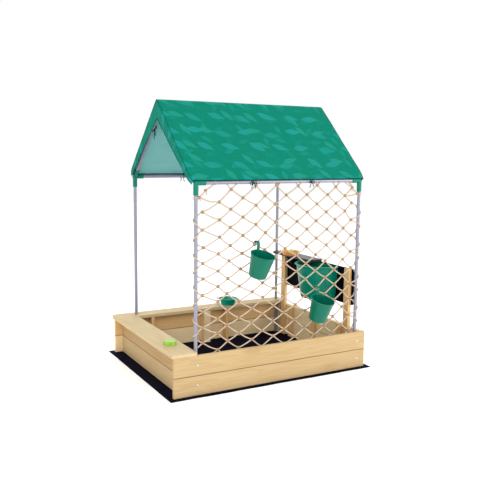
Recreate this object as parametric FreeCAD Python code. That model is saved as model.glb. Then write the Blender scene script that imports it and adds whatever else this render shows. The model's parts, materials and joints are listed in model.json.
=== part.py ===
"""Wooden sandbox with a corner bench, a steel canopy frame, a climbing-style net with two hanging
buckets and a small play panel.  Millimetres, +Z up, origin on the ground under the box's centre,
+X along the front wall, +Y towards the back."""
import FreeCAD, Part
import math
import os

V = FreeCAD.Vector

# ---------------------------------------------------------------- driving dimensions
BOX_LENGTH = 1200.0          # outside of the front and back walls, along X
BOX_WIDTH = 930.0            # outside face to outside face, along Y
SHEET_OVERHANG = 30.0        # ground sheet beyond the walls
SHEET_T = 2.0
PLANK_T = 20.0
PLANK_H = 105.0
PLANK_ROUND = 4.0            # eased long edges of the planks
LEFT_RECESS = 44.0           # left wall set in from the ends of the long walls

SEAT_T = 18.0
SEAT_ROUND = 30.0            # outer back corner of the bench
LEFT_SEAT_X = (-610.0, -474.0)
LEFT_SEAT_Y = (-467.0, 495.0)
BACK_SEAT_Y = 392.0          # front edge of the back bench

TUBE_R = 9.5
TUBE_WALL = 1.5
LEFT_POLE_X = -468.0
RIGHT_POLE_X = 550.0
EAVE_Z = 1085.0
RIDGE_Z = 1500.0
FIT_GAP = 0.3                # between separate bodies and round sleeved tubes

CONNECTOR_R = 13.0
SOCKET_START = 16.0          # from a connector's centre to the end of each tube
SLEEVE_DOWN = 62.0
SLEEVE_ALONG = 52.0
SLEEVE_SLOPE = 58.0

CLOTH_T = 2.5
CLOTH_OFFSET = 14.0          # rafter centre line to the inner face of the roof cover
ROOF_X = (-500.0, 582.0)
FLAP_TOP = 78.0              # width of the gable flap under the ridge, square to the slope
FLAP_LOW = 26.0              # and at the eaves

BOLT_HEAD_R = 7.0
BOLT_HEAD_H = 3.0
BOLT_R = 3.0
NUT_R = 5.8
NUT_H = 5.0
SCREW_HEAD_R = 4.5
SCREW_HEAD_H = 2.5
SCREW_R = 2.0
SCREW_BITE = 12.0            # how far a screw goes into the second board
BENCH_SCREW = 45.0
PANEL_SCREW = 32.0
BOARD_SCREW = 24.0
SHELF_SCREW = 40.0
PANEL_SCREW_ZS = (46.0, 166.0)

NET_X = (-452.0, 534.0)
NET_Z = (205.0, 1070.0)
NET_Y = -432.0
NET_T = 6.0
NET_BAR = 6.0
NET_HALF_X = 64.0            # half the width of one mesh
NET_HALF_Z = 46.0            # half its height
NET_KNOT = (-119.0, 760.0)   # one knot, which fixes the whole lattice
KNOT_R = 6.0                 # the two knots that carry buckets
KNOT_LENGTH = 16.0

POST_X = 560.0               # inner face of the play panel's posts
POST_Y = (-355.0, 341.0)     # low Y edge of each post
POST_W = 45.0
SHELF_SCREW_AT = (11.0, 34.0)  # from the low Y edge of the back post
PANEL_TOP = 560.0
BOARD_T = 12.0
BOARD_Y = (-372.0, 382.0)
BOARD_Z = 345.0
BOARD_ROUND = 18.0
SHELF_X = (497.0, 592.0)
SHELF_Y = (-42.0, 400.0)
SHELF_T = 15.0

TUB_CENTRE_Y = -75.0
TUB_HALF_W = 150.0
TUB_DEPTH = 174.0
TUB_TOP = 552.0
TUB_H = 203.0
TUB_WALL = 3.0
TUB_LIP = 9.0
TUB_TAPER = 0.82             # bottom size over rim size

BUCKET_RIM_R = 64.0
BUCKET_BASE_R = 47.0
BUCKET_H = 122.0
BUCKET_WALL = 2.2
STRAP_W = 16.0
STRAP_T = 4.0
HOOK_R = 22.0                # centre line of the hook's bend
HOOK_RISE = 22.0             # straight strap above the rim
HOOK_LEAN = 14.0             # degrees that the strap leans back over the rope
HOOK_TIP = 8.0
HANG_RADIUS = 10.7           # rope centre to the inside of the hook, where it hangs
RIVET_R = 3.0
RIVET_HEAD_R = 5.0
RIVET_Z = 96.0
RIM_BEAD = 2.2

WOOD_Z = SHEET_T
WALL_TOP = SHEET_T + 2 * PLANK_H
SEAT_TOP = WALL_TOP + SEAT_T
HALF_L = BOX_LENGTH / 2
HALF_W = BOX_WIDTH / 2
INNER_Y = HALF_W - PLANK_T
LEFT_OUTER = -HALF_L + LEFT_RECESS
LEFT_INNER = LEFT_OUTER + PLANK_T
RIGHT_INNER = HALF_L - PLANK_T
POLE_Y = INNER_Y - TUBE_R
SLOPE = math.atan2(RIDGE_Z - EAVE_Z, POLE_Y)
POLE_XS = {"left": LEFT_POLE_X, "right": RIGHT_POLE_X}
POLE_SIDES = {"front": -1, "back": 1}

os.makedirs("parts", exist_ok=True)


# ---------------------------------------------------------------- helpers
def save(node, shape):
    shape.exportStep("parts/%s.step" % node)


def block(x, y, z):
    return Part.makeBox(x[1] - x[0], y[1] - y[0], z[1] - z[0], V(x[0], y[0], z[0]))


def rod(start, direction, radius, length):
    return Part.makeCylinder(radius, length, start, direction)


def tube(start, end, radius, wall):
    line = end - start
    outer = rod(start, line, radius, line.Length)
    return outer.cut(rod(start, line, radius - wall, line.Length))


def ring(centre, axis, inner, outer, height):
    start = centre - V(axis).normalize() * (height / 2)
    return rod(start, axis, outer, height).cut(rod(start, axis, inner, height))


def cup(outline, base_z, top_z, taper, wall):
    """A tapered cup whose closed outline(size, inset, z) is lofted from base to rim."""
    outer = Part.makeLoft([outline(taper, 0, base_z), outline(1, 0, top_z)], True, True)
    growth = (1 - taper) / (top_z - base_z)
    inner = Part.makeLoft([outline(taper + growth * wall, wall, base_z + wall),
                           outline(1 + growth, wall, top_z + 1)], True, True)
    return outer.cut(inner)


def turned(points, centre):
    """Solid of revolution about a vertical axis from (radius, height) points."""
    outline = [V(r, 0, z) for r, z in points]
    face = Part.Face(Part.makePolygon(outline + [outline[0]]))
    solid = face.revolve(V(0, 0, 0), V(0, 0, 1), 360)
    solid.translate(centre)
    return solid


def eased(shape, direction, radius):
    """Round the straight edges of a board that run along one axis."""
    picked = [e for e in shape.Edges
              if abs(e.tangentAt(e.FirstParameter).dot(direction)) > 0.99]
    return shape.makeFillet(radius, picked)


def screw(point, direction, length):
    """A screw whose head is sunk flush at point and whose shank runs along direction."""
    head = rod(point, direction, SCREW_HEAD_R, SCREW_HEAD_H)
    return head.fuse(rod(point, direction, SCREW_R, length))


def minus(shape, tools):
    for tool in tools:
        shape = shape.cut(tool)
    return shape


# ---------------------------------------------------------------- poles and their bolts
def bolt_levels():
    return [WOOD_Z + PLANK_H / 2, WOOD_Z + 1.5 * PLANK_H]


def pole_bolts():
    """Round-headed bolts through each long wall into the poles, with hex nuts inside."""
    bolts = []
    nuts = []
    for x in POLE_XS.values():
        for side in POLE_SIDES.values():
            inward = V(0, -side, 0)
            for z in bolt_levels():
                face = V(x, side * HALF_W, z)
                reach = HALF_W - POLE_Y + TUBE_R + NUT_H + 2
                head = Part.makeCone(BOLT_HEAD_R, BOLT_HEAD_R * 0.6, BOLT_HEAD_H, face, inward * -1)
                bolts.append(head.fuse(rod(face, inward, BOLT_R, reach)))
                corners = [V(NUT_R * math.cos(math.radians(a)), 0, NUT_R * math.sin(math.radians(a)))
                           for a in range(0, 361, 60)]
                nut = Part.Face(Part.makePolygon(corners)).extrude(inward * NUT_H)
                nut.translate(V(x, side * (POLE_Y - TUBE_R), z))
                nuts.append(nut.cut(rod(face, inward, BOLT_R, reach)))
    return bolts, nuts


BOLTS, NUTS = pole_bolts()
BOLT_HOLES = [rod(V(x, side * (HALF_W + 1), z), V(0, -side, 0), BOLT_R, HALF_W - POLE_Y + TUBE_R + 1)
              for x in POLE_XS.values() for side in POLE_SIDES.values() for z in bolt_levels()]


def make_poles():
    for end, x in POLE_XS.items():
        for row, side in POLE_SIDES.items():
            pole = tube(V(x, side * POLE_Y, WOOD_Z), V(x, side * POLE_Y, EAVE_Z - SOCKET_START),
                        TUBE_R, TUBE_WALL)
            save("pole_%s_%s" % (row, end), minus(pole, BOLT_HOLES))
    save("pole_bolts", Part.Compound(BOLTS))
    save("pole_nuts", Part.Compound(NUTS))


# ---------------------------------------------------------------- box walls
CORNER_BLOCK = 36.0
RIGHT_BLOCK = 19.0           # thinner, to leave room for the right poles
SCREW_STAGGER = 12.0         # keeps the two rows of corner screws apart
LEFT_BLOCK_X = (LEFT_INNER, LEFT_INNER + CORNER_BLOCK)
RIGHT_BLOCK_X = (RIGHT_INNER - RIGHT_BLOCK, RIGHT_INNER)


def corner_screws():
    """Screws from each corner block out into the long wall and into the end wall."""
    screws = []
    for x0, x1, out in ((*LEFT_BLOCK_X, -1), (*RIGHT_BLOCK_X, 1)):
        for side in (-1, 1):
            for z in bolt_levels():
                face = V((x0 + x1) / 2, side * (INNER_Y - CORNER_BLOCK), z + SCREW_STAGGER)
                screws.append(screw(face, V(0, side, 0), CORNER_BLOCK + SCREW_BITE))
                face = V(x1 if out < 0 else x0, side * (INNER_Y - CORNER_BLOCK / 2), z - SCREW_STAGGER)
                screws.append(screw(face, V(out, 0, 0), (x1 - x0) + SCREW_BITE))
    return screws


CORNER_SCREWS = corner_screws()


def make_walls():
    levels = {"lower": WOOD_Z, "upper": WOOD_Z + PLANK_H}
    for level, z in levels.items():
        height = (z, z + PLANK_H)
        for row, side in POLE_SIDES.items():
            faces = sorted((side * HALF_W, side * INNER_Y))
            plank = eased(block((-HALF_L, HALF_L), faces, height), V(1, 0, 0), PLANK_ROUND)
            save("wall_%s_%s" % (row, level), minus(plank, BOLT_HOLES + CORNER_SCREWS + BENCH_SCREWS))
        for end, faces in (("left", (LEFT_OUTER, LEFT_INNER)), ("right", (RIGHT_INNER, HALF_L))):
            plank = eased(block(faces, (-INNER_Y, INNER_Y), height), V(0, 1, 0), PLANK_ROUND)
            save("wall_%s_%s" % (end, level), minus(plank, CORNER_SCREWS + PANEL_SCREWS + BENCH_SCREWS))


def make_corner_blocks():
    blocks = []
    for x in (LEFT_BLOCK_X, RIGHT_BLOCK_X):
        for side in (-1, 1):
            y = sorted((side * INNER_Y, side * (INNER_Y - CORNER_BLOCK)))
            blocks.append(minus(block(x, y, (WOOD_Z, WALL_TOP)), CORNER_SCREWS))
    save("corner_blocks", Part.Compound(blocks))
    save("corner_screws", Part.Compound(CORNER_SCREWS))


# ---------------------------------------------------------------- bench and its supports
CLEAT_W = 45.0
CLEAT_T = 18.0
CLEAT_YS = (272.0, 10.0, -262.0)
BACK_POST_X = (-18.0, 26.0)
BACK_POST_DEPTH = 50.0
BACK_BRACKET_XS = (-382.0, 141.0)
LEFT_BRACKET_YS = (-159.0, 141.0)


def bench_supports():
    height = (WOOD_Z, WALL_TOP)
    under = (INNER_Y - BACK_POST_DEPTH, INNER_Y)
    post = block(BACK_POST_X, under, height)
    back = [block((x, x + CLEAT_T), under, height) for x in BACK_BRACKET_XS]
    left = [block((LEFT_INNER, LEFT_SEAT_X[1] - 2), (y, y + CLEAT_T), height) for y in LEFT_BRACKET_YS]
    return post, back, left


LEFT_SCREW_X = -505.0


def bench_screws():
    """Screws down through both benches into the brackets, the post and the walls."""
    spots = [(x + CLEAT_T / 2, INNER_Y - BACK_POST_DEPTH / 2) for x in BACK_BRACKET_XS]
    spots += [(sum(BACK_POST_X) / 2, INNER_Y - depth) for depth in (14, 36)]
    spots += [(LEFT_SCREW_X, y + CLEAT_T / 2) for y in LEFT_BRACKET_YS]
    spots += [(LEFT_OUTER + PLANK_T / 2, y) for y in (-330, 310)]
    spots += [(x, HALF_W - PLANK_T / 2) for x in (-240, 300, 520)]
    return [screw(V(x, y, SEAT_TOP), V(0, 0, -1), BENCH_SCREW) for x, y in spots]


BENCH_SCREWS = bench_screws()


def make_bench():
    height = (WALL_TOP, SEAT_TOP)
    left = block(LEFT_SEAT_X, LEFT_SEAT_Y, height)
    outer = [e for e in left.Edges
             if e.Length == SEAT_T and e.BoundBox.XMax < LEFT_SEAT_X[0] + 1 and e.BoundBox.YMin > 0]
    left = left.makeFillet(SEAT_ROUND, outer)
    back = block((LEFT_SEAT_X[1], HALF_L), (BACK_SEAT_Y, LEFT_SEAT_Y[1]), height)
    holes = [rod(V(x, side * POLE_Y, WALL_TOP), V(0, 0, 1), TUBE_R + FIT_GAP, SEAT_T)
             for x in POLE_XS.values() for side in (-1, 1)]
    save("seat_left", minus(left, holes + BENCH_SCREWS))
    save("seat_back", minus(back, holes + BENCH_SCREWS))
    post, back_brackets, left_brackets = bench_supports()
    save("seat_post", minus(post, BENCH_SCREWS))
    save("seat_brackets_back", Part.Compound([minus(b, BENCH_SCREWS) for b in back_brackets]))
    save("seat_brackets_left", Part.Compound([minus(b, BENCH_SCREWS) for b in left_brackets]))
    save("bench_screws", Part.Compound(BENCH_SCREWS))
    cleats = [block((RIGHT_INNER - CLEAT_T, RIGHT_INNER), (y - CLEAT_W / 2, y + CLEAT_W / 2),
                    (WOOD_Z, WALL_TOP)) for y in CLEAT_YS]
    save("right_wall_cleats", Part.Compound([minus(c, PANEL_SCREWS) for c in cleats]))


# ---------------------------------------------------------------- play panel on the right wall
def panel_screws():
    """Post screws into the wall, cleat screws, and board screws into the posts."""
    screws = []
    for y in POST_Y:
        for z in PANEL_SCREW_ZS:
            screws.append(screw(V(POST_X, y + POST_W / 2, z), V(1, 0, 0), PANEL_SCREW))
        for z in (BOARD_Z + 30, PANEL_TOP - 30):
            screws.append(screw(V(RIGHT_INNER + BOARD_T, y + POST_W / 2, z), V(-1, 0, 0), BOARD_SCREW))
    for y in CLEAT_YS:
        for z in PANEL_SCREW_ZS:
            screws.append(screw(V(RIGHT_INNER - CLEAT_T, y, z), V(1, 0, 0), PANEL_SCREW))
    return screws


PANEL_SCREWS = panel_screws()
TUB_PEG_YS = (TUB_CENTRE_Y - 80, TUB_CENTRE_Y + 80)
TUB_PEG_Z = TUB_TOP - 28
TUB_PEG_R = 4.0
GUSSET_YS = (110.0, 262.0)
GUSSET_REACH = 60.0
GUSSET_EDGE = 12.0
GUSSET_T = 14.0


def make_panel():
    shelf_screws = [screw(V(POST_X + 7, y, PANEL_TOP + SHELF_T), V(0, 0, -1), SHELF_SCREW)
                    for y in (POST_Y[1] + at for at in SHELF_SCREW_AT)]
    for name, y in (("front", POST_Y[0]), ("back", POST_Y[1])):
        post = block((POST_X, RIGHT_INNER), (y, y + POST_W), (WOOD_Z, PANEL_TOP))
        save("panel_post_%s" % name, minus(post, PANEL_SCREWS + shelf_screws))
    board = block((RIGHT_INNER, RIGHT_INNER + BOARD_T), BOARD_Y, (BOARD_Z, PANEL_TOP))
    board = eased(board, V(1, 0, 0), BOARD_ROUND)
    pegs = [rod(V(RIGHT_INNER + BOARD_T, y, TUB_PEG_Z), V(-1, 0, 0), TUB_PEG_R, BOARD_T + 12)
            for y in TUB_PEG_YS]
    save("chalkboard", minus(board, PANEL_SCREWS + pegs))
    save("tub_pegs", Part.Compound(pegs))
    shelf = block(SHELF_X, SHELF_Y, (PANEL_TOP, PANEL_TOP + SHELF_T))
    gussets = []
    for y in GUSSET_YS:
        reach, edge = RIGHT_INNER - GUSSET_REACH, PANEL_TOP - GUSSET_REACH
        outline = [V(RIGHT_INNER, y, PANEL_TOP), V(reach, y, PANEL_TOP),
                   V(reach, y, PANEL_TOP - GUSSET_EDGE), V(RIGHT_INNER - GUSSET_EDGE, y, edge),
                   V(RIGHT_INNER, y, edge)]
        gusset = Part.Face(Part.makePolygon(outline + [outline[0]]))
        gussets.append(gusset.extrude(V(0, GUSSET_T, 0)))
    save("shelf", minus(eased(shelf, V(0, 0, 1), 8), shelf_screws))
    save("shelf_gussets", Part.Compound(gussets))
    save("panel_screws", Part.Compound(PANEL_SCREWS + shelf_screws))


def make_tub():
    """Half-round tub that hangs on two pegs against the board, open at the top."""
    back_x = RIGHT_INNER - 1.0

    def outline(size, inset, z):
        half = TUB_HALF_W * size - inset
        low = V(back_x - inset, TUB_CENTRE_Y - half, z)
        high = V(back_x - inset, TUB_CENTRE_Y + half, z)
        front = V(back_x - TUB_DEPTH * size + inset, TUB_CENTRE_Y, z)
        return Part.Wire([Part.Arc(low, front, high).toShape(), Part.makeLine(high, low)])

    tub = cup(outline, TUB_TOP - TUB_H, TUB_TOP, TUB_TAPER, TUB_WALL)
    lip = Part.Face(outline(1 + TUB_LIP / TUB_HALF_W, 0, TUB_TOP)).extrude(V(0, 0, TUB_WALL))
    mouth = Part.Face(outline(1, TUB_WALL, TUB_TOP - 1)).extrude(V(0, 0, TUB_WALL + 2))
    holes = [rod(V(back_x + 1, y, TUB_PEG_Z), V(-1, 0, 0), TUB_PEG_R + FIT_GAP, 20) for y in TUB_PEG_YS]
    save("tub", minus(tub.fuse(lip.cut(mouth)), holes).removeSplitter())


# ---------------------------------------------------------------- canopy frame
def slope_line(side):
    """Unit vector from the eave up towards the ridge on one side."""
    return V(0, -side * math.cos(SLOPE), math.sin(SLOPE))


def connector(centre, branches):
    """Plastic socket: a ball hub with one sleeve for each (direction, length) branch."""
    body = Part.makeSphere(CONNECTOR_R, centre)
    for direction, length in branches:
        body = body.fuse(rod(centre, direction, CONNECTOR_R, length))
    for direction, length in branches:
        start = centre + direction * SOCKET_START
        body = body.cut(rod(start, direction, TUBE_R, length - SOCKET_START + 1))
    return body.removeSplitter()


def make_canopy_frame():
    for end, x in POLE_XS.items():
        inward = V(1 if end == "left" else -1, 0, 0)
        ridge = V(x, 0, RIDGE_Z)
        slopes = []
        for row, side in POLE_SIDES.items():
            corner = V(x, side * POLE_Y, EAVE_Z)
            up = slope_line(side)
            branches = [(V(0, 0, -1), SLEEVE_DOWN), (inward, SLEEVE_ALONG), (up, SLEEVE_SLOPE)]
            save("connector_%s_%s" % (row, end), connector(corner, branches))
            rafter = tube(corner + up * SOCKET_START, ridge - up * SOCKET_START, TUBE_R, TUBE_WALL)
            save("rafter_%s_%s" % (row, end), rafter)
            slopes.append((up * -1, SLEEVE_SLOPE))
        save("connector_ridge_%s" % end, connector(ridge, slopes + [(inward, SLEEVE_ALONG)]))
    span = (LEFT_POLE_X + SOCKET_START, RIGHT_POLE_X - SOCKET_START)
    for row, side in POLE_SIDES.items():
        y = side * POLE_Y
        save("eave_tube_%s" % row, tube(V(span[0], y, EAVE_Z), V(span[1], y, EAVE_Z), TUBE_R, TUBE_WALL))
    save("ridge_tube", tube(V(span[0], 0, RIDGE_Z), V(span[1], 0, RIDGE_Z), TUBE_R, TUBE_WALL))


def roof_section(x, length, outer, inner_eave, inner_apex):
    """Inverted V across the roof, extruded along X; each value is an offset from the rafter line."""
    def eave(offset, side):
        return V(x, side * (POLE_Y + offset * math.sin(SLOPE)), EAVE_Z + offset * math.cos(SLOPE))

    def apex(offset):
        return V(x, 0, RIDGE_Z + offset / math.cos(SLOPE))
    points = [eave(inner_eave, -1), eave(outer, -1), apex(outer), eave(outer, 1),
              eave(inner_eave, 1), apex(inner_apex)]
    return Part.Face(Part.makePolygon(points + [points[0]])).extrude(V(length, 0, 0))


def make_roof():
    """Cover of two slopes, with a flap in each gable that narrows towards the eaves."""
    outer = CLOTH_OFFSET + CLOTH_T
    cover = roof_section(ROOF_X[0], ROOF_X[1] - ROOF_X[0], outer, CLOTH_OFFSET, CLOTH_OFFSET)
    for x in (ROOF_X[0], ROOF_X[1] - CLOTH_T):
        cover = cover.fuse(roof_section(x, CLOTH_T, outer, outer - FLAP_LOW, outer - FLAP_TOP))
    save("roof_cover", cover.removeSplitter())


TIE_EAVE_XS = (-147.0, 215.0)
TIE_SLOPE_AT = 0.66          # share of the rafter's length from the eave
TIE_CORD = 3.0
BOW_SIZE = (22.0, 6.0, 12.0)


def make_roof_ties():
    """Cord ties: a loop round the tube with a knotted bow on its outside."""
    ties = []

    def tie(centre, axis, outward):
        bow = Part.makeBox(*BOW_SIZE, V(*BOW_SIZE) / -2)
        bow.rotate(V(0, 0, 0), V(0, 0, 1), 0 if abs(outward.y) > 0.5 else 90)
        bow.translate(centre + outward * (TUBE_R + BOW_SIZE[1] / 2 + 2))
        ties.append(ring(centre, axis, TUBE_R, TUBE_R + TIE_CORD, BOW_SIZE[1] - 1).fuse(bow))
    for side in POLE_SIDES.values():
        for x in TIE_EAVE_XS:
            tie(V(x, side * POLE_Y, EAVE_Z), V(1, 0, 0), V(0, side, 0))
        for x, out in ((LEFT_POLE_X, -1), (RIGHT_POLE_X, 1)):
            up = slope_line(side)
            run = math.hypot(POLE_Y, RIDGE_Z - EAVE_Z)
            tie(V(x, side * POLE_Y, EAVE_Z) + up * (run * TIE_SLOPE_AT), up, V(-out, 0, 0))
    save("roof_ties", Part.Compound(ties))


# ---------------------------------------------------------------- net
def lattice(low, high, origin, step):
    first = math.floor((low - origin) / step)
    last = math.ceil((high - origin) / step)
    return range(first, last + 1)


def net_knot(steps):
    """Place of a knot that lies so many half meshes along and up from the first one."""
    return V(NET_KNOT[0] + steps[0] * NET_HALF_X, NET_Y, NET_KNOT[1] + steps[1] * NET_HALF_Z)


def make_net():
    """Knotted net as one flat panel of crossing bars with open meshes and two thick knots."""
    y = (NET_Y - NET_T / 2, NET_Y + NET_T / 2)
    panel = block(NET_X, y, NET_Z)
    border = block((NET_X[0] + NET_BAR, NET_X[1] - NET_BAR), y, (NET_Z[0] + NET_BAR, NET_Z[1] - NET_BAR))
    half_bar = NET_BAR / 2
    tilt = math.atan2(NET_HALF_Z, NET_HALF_X)
    open_x = NET_HALF_X - half_bar / math.sin(tilt)
    open_z = NET_HALF_Z - half_bar / math.cos(tilt)
    holes = []
    for i in lattice(*NET_X, NET_KNOT[0], NET_HALF_X):
        for j in lattice(*NET_Z, NET_KNOT[1], NET_HALF_Z):
            if (i + j) % 2 == 0:
                continue
            x = NET_KNOT[0] + i * NET_HALF_X
            z = NET_KNOT[1] + j * NET_HALF_Z
            points = [V(x - open_x, y[0], z), V(x, y[0], z + open_z), V(x + open_x, y[0], z),
                      V(x, y[0], z - open_z), V(x - open_x, y[0], z)]
            hole = Part.Face(Part.makePolygon(points)).extrude(V(0, NET_T, 0)).common(border)
            if hole.Volume > NET_T * NET_BAR * NET_BAR:
                holes.append(hole)
    net = panel.cut(Part.Compound(holes))
    for steps, _, _ in BUCKETS.values():
        start = net_knot(steps) - V(KNOT_LENGTH / 2, 0, 0)
        net = net.fuse(rod(start, V(1, 0, 0), KNOT_R, KNOT_LENGTH))
    save("net", net)


LASH_R = 2.5


def make_net_lashing():
    """Cord turns that hold the net to the front poles and the front eave tube."""
    rings = []
    for x in POLE_XS.values():
        levels = [NET_KNOT[1] + j * NET_HALF_Z for j in lattice(*NET_Z, NET_KNOT[1], NET_HALF_Z)]
        for z in levels:
            if WALL_TOP + 30 < z < EAVE_Z - SLEEVE_DOWN - 10:
                rings.append(ring(V(x, -POLE_Y, z), V(0, 0, 1), TUBE_R, TUBE_R + 2 * LASH_R, 2 * LASH_R))
    for i in lattice(*NET_X, NET_KNOT[0], NET_HALF_X):
        x = NET_KNOT[0] + (i + 0.35) * NET_HALF_X
        clear_of_ties = all(abs(x - t) > 20 for t in TIE_EAVE_XS)
        if LEFT_POLE_X + SLEEVE_ALONG + 10 < x < RIGHT_POLE_X - SLEEVE_ALONG - 10 and clear_of_ties:
            rings.append(ring(V(x, -POLE_Y, EAVE_Z), V(1, 0, 0), TUBE_R, TUBE_R + 2, 2 * LASH_R))
    save("net_lashing", Part.Compound(rings))


# ---------------------------------------------------------------- buckets on the net
BUCKETS = {
    # name: (steps along and up the lattice from the first knot, tilt outward, lean sideways)
    "left": ((0, 0), 17.0, 6.0),
    "right": ((6, -6), 17.5, 5.0),
}


def bucket_wall_radius(z):
    return BUCKET_BASE_R + (BUCKET_RIM_R - BUCKET_BASE_R) * z / BUCKET_H


def strap_path():
    """Centre line of the strap in the bucket's own YZ plane: foot, rim, bend and tip."""
    clear = BUCKET_WALL + 0.8 + STRAP_T / 2
    foot = V(0, bucket_wall_radius(45) - clear, 45)
    rim = V(0, bucket_wall_radius(BUCKET_H) - clear, BUCKET_H)
    lean = math.radians(HOOK_LEAN)
    along = V(0, math.sin(lean), math.cos(lean))
    across = V(0, math.cos(lean), -math.sin(lean))
    rise = rim + along * HOOK_RISE
    centre = rise + across * HOOK_R
    return foot, rim, rise, centre, along, across


def make_hook():
    foot, rim, rise, centre, along, across = strap_path()
    half = STRAP_T / 2
    lower = (rim - foot).normalize()
    side = V(0, lower.z, -lower.y)
    inner_r, outer_r = HOOK_R - half, HOOK_R + half
    back = centre + across * HOOK_R
    tip = back - along * HOOK_TIP
    edges = [
        Part.makeLine(foot + side * half, rim + across * half),
        Part.makeLine(rim + across * half, rise + across * half),
        Part.Arc(rise + across * half, centre + along * inner_r, back - across * half).toShape(),
        Part.makeLine(back - across * half, tip - across * half),
        Part.Arc(tip - across * half, tip - along * half, tip + across * half).toShape(),
        Part.makeLine(tip + across * half, back + across * half),
        Part.Arc(back + across * half, centre + along * outer_r, rise - across * half).toShape(),
        Part.makeLine(rise - across * half, rim - across * half),
        Part.makeLine(rim - across * half, foot - side * half),
        Part.makeLine(foot - side * half, foot + side * half)]
    strap = Part.Face(Part.Wire(edges)).extrude(V(STRAP_W, 0, 0))
    strap.translate(V(-STRAP_W / 2, 0, 0))
    outside = bucket_wall_radius(RIVET_Z)
    shank = rod(V(0, outside - BUCKET_WALL - 3, RIVET_Z), V(0, 1, 0), RIVET_R, BUCKET_WALL + 4)
    head = rod(V(0, outside + 0.6, RIVET_Z), V(0, 1, 0), RIVET_HEAD_R, 2.0)
    return strap.fuse(shank).fuse(head)


def make_bucket_body():
    slope = (BUCKET_RIM_R - BUCKET_BASE_R) / BUCKET_H
    wall = BUCKET_WALL
    points = [(0, 0), (BUCKET_BASE_R, 0), (BUCKET_RIM_R - slope * 5, BUCKET_H - 5),
              (BUCKET_RIM_R + RIM_BEAD, BUCKET_H - 5), (BUCKET_RIM_R + RIM_BEAD, BUCKET_H),
              (BUCKET_RIM_R - wall, BUCKET_H), (BUCKET_BASE_R + slope * wall - wall, wall), (0, wall)]
    body = turned(points, V(0, 0, 0))
    return body.cut(rod(V(0, BUCKET_BASE_R - 10, RIVET_Z), V(0, 1, 0), RIVET_R, 40))


def hang_point(tilt):
    """Rope centre inside the hook, in bucket coordinates, for a base that just clears the net."""
    angle = math.radians(tilt)
    centre = strap_path()[3]
    free = HOOK_R - STRAP_T / 2 - HANG_RADIUS
    level = BUCKET_BASE_R * math.cos(angle) + NET_T / 2 + 1.5
    centre_level = centre.y * math.cos(angle) - centre.z * math.sin(angle)
    ahead = level - centre_level
    up = math.sqrt(free ** 2 - ahead ** 2)
    return centre + V(0, ahead * math.cos(angle) + up * math.sin(angle),
                      -ahead * math.sin(angle) + up * math.cos(angle))


def make_buckets():
    hook = make_hook()
    body = make_bucket_body()
    for name, (steps, tilt, lean) in BUCKETS.items():
        hang = hang_point(tilt)
        for node, shape in (("bucket_%s" % name, body), ("bucket_hook_%s" % name, hook)):
            placed = shape.copy()
            placed.translate(hang * -1)
            placed.rotate(V(0, 0, 0), V(1, 0, 0), tilt)
            placed.rotate(V(0, 0, 0), V(0, 1, 0), lean)
            placed.translate(net_knot(steps))
            save(node, placed)


# ---------------------------------------------------------------- loose toys
PAN_CENTRE = V(508, 200, PANEL_TOP + SHELF_T + FIT_GAP)
PAN_R = 59.0
PAN_BASE_R = 44.0
PAN_H = 24.0
POT_CENTRE = V(175, 436, SEAT_TOP + FIT_GAP)
POT_R = 59.0
POT_BASE_R = 42.0
POT_H = 42.0
TOY_WALL = 2.2
MOULD_CENTRE = V(-540, -270, SEAT_TOP + FIT_GAP)
MOULD_R = 36.0
MOULD_H = 20.0
MOULD_LOBES = 5
STAR_R = 24.0
LUG_R = 11.0
LUG_T = 5.0


def dish(radius, base, height, centre):
    """Round open dish with an out-turned rim."""
    wall = TOY_WALL
    slope = (radius - base) / height
    points = [(0, 0), (base, 0), (radius - slope * 3, height - 3), (radius + 4, height - 2),
              (radius + 4, height), (radius - wall, height), (base - wall + slope * wall, wall), (0, wall)]
    return turned(points, centre)


def lobed_mould(radius, height, centre, lobes, wall):
    """Upside-down sand mould: a round middle with rounded lobes, hollow underneath."""
    def solid(inset, h):
        body = Part.makeCylinder(radius * 0.55 - inset, h)
        for i in range(lobes):
            angle = 2 * math.pi * i / lobes
            offset = V(radius * 0.58 * math.cos(angle), radius * 0.58 * math.sin(angle), 0)
            body = body.fuse(Part.makeCylinder(radius * 0.42 - inset, h, offset))
        return body.removeSplitter()
    shell = solid(0, height).cut(solid(wall, height - wall))
    shell.translate(centre)
    return shell


def make_toys():
    handle = block((-9, 9), (PAN_R + 1, PAN_R + 42), (PAN_H - 4, PAN_H))
    handle = eased(handle, V(0, 0, 1), 6)
    handle.rotate(V(0, 0, 0), V(0, 0, 1), -38)
    handle.translate(PAN_CENTRE)
    save("pan", dish(PAN_R, PAN_BASE_R, PAN_H, PAN_CENTRE).fuse(handle).removeSplitter())
    lifted = PAN_CENTRE + V(0, 0, TOY_WALL + FIT_GAP)
    save("pan_mould", lobed_mould(STAR_R, PAN_H + 1, lifted, MOULD_LOBES, TOY_WALL))
    pot = dish(POT_R, POT_BASE_R, POT_H, POT_CENTRE)
    for turn in (-40, 140):
        lug = rod(V(POT_R + LUG_R - 2, 0, POT_H - LUG_T - 1), V(0, 0, 1), LUG_R, LUG_T)
        lug.rotate(V(0, 0, 0), V(0, 0, 1), turn)
        lug.translate(POT_CENTRE)
        pot = pot.fuse(lug)
    save("pot", pot.removeSplitter())
    save("seat_mould", lobed_mould(MOULD_R, MOULD_H, MOULD_CENTRE, MOULD_LOBES, TOY_WALL))


# ---------------------------------------------------------------- ground sheet and build
def make_sheet():
    x = HALF_L + SHEET_OVERHANG
    y = HALF_W + SHEET_OVERHANG
    save("ground_sheet", block((-x, x), (-y, y), (0, SHEET_T)))


make_sheet()
make_poles()
make_walls()
make_corner_blocks()
make_bench()
make_panel()
make_tub()
make_canopy_frame()
make_roof()
make_roof_ties()
make_net()
make_net_lashing()
make_buckets()
make_toys()
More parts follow.
